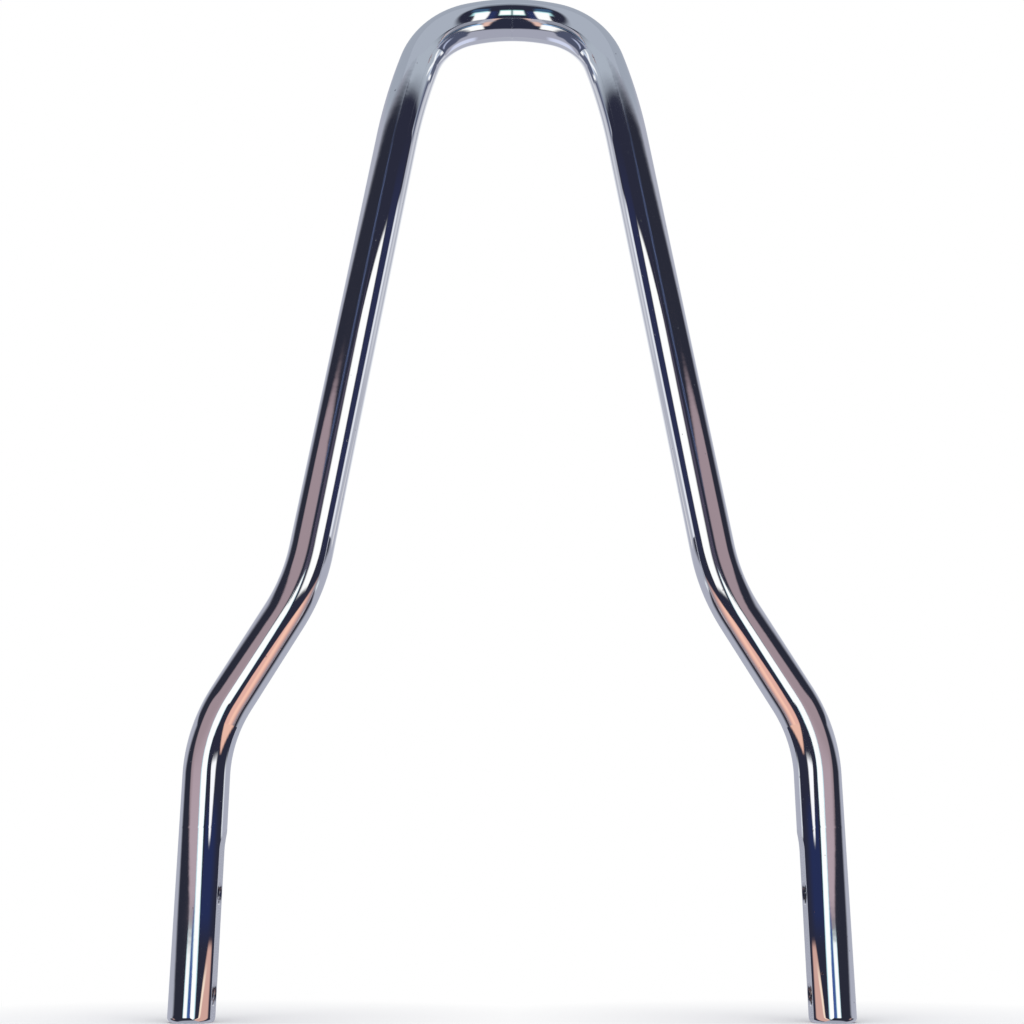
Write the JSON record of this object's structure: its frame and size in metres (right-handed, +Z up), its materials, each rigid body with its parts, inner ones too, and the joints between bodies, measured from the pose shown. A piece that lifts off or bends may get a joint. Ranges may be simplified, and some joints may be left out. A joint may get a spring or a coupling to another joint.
{
  "type": "sissy bar",
  "caption": "Tall narrow arch of bent round chromed bar for the back of a motorbike seat, stepping out to upright legs with milled flats and tapped holes.",
  "frame": {"origin": "midway between the two mounting legs, on their centre plane, at the level of the cut ends", "axes": "+Z up along the mounting legs, +X across from one leg to the other, +Y from front to back through the plane of the arch"},
  "size_m": [0.268, 0.019, 0.46],
  "materials": {
    "chromed_bar": "bright chrome plate over steel bar"
  },
  "bodies": {
    "root": {"bar": "chromed_bar"}
  },
  "joints": []
}
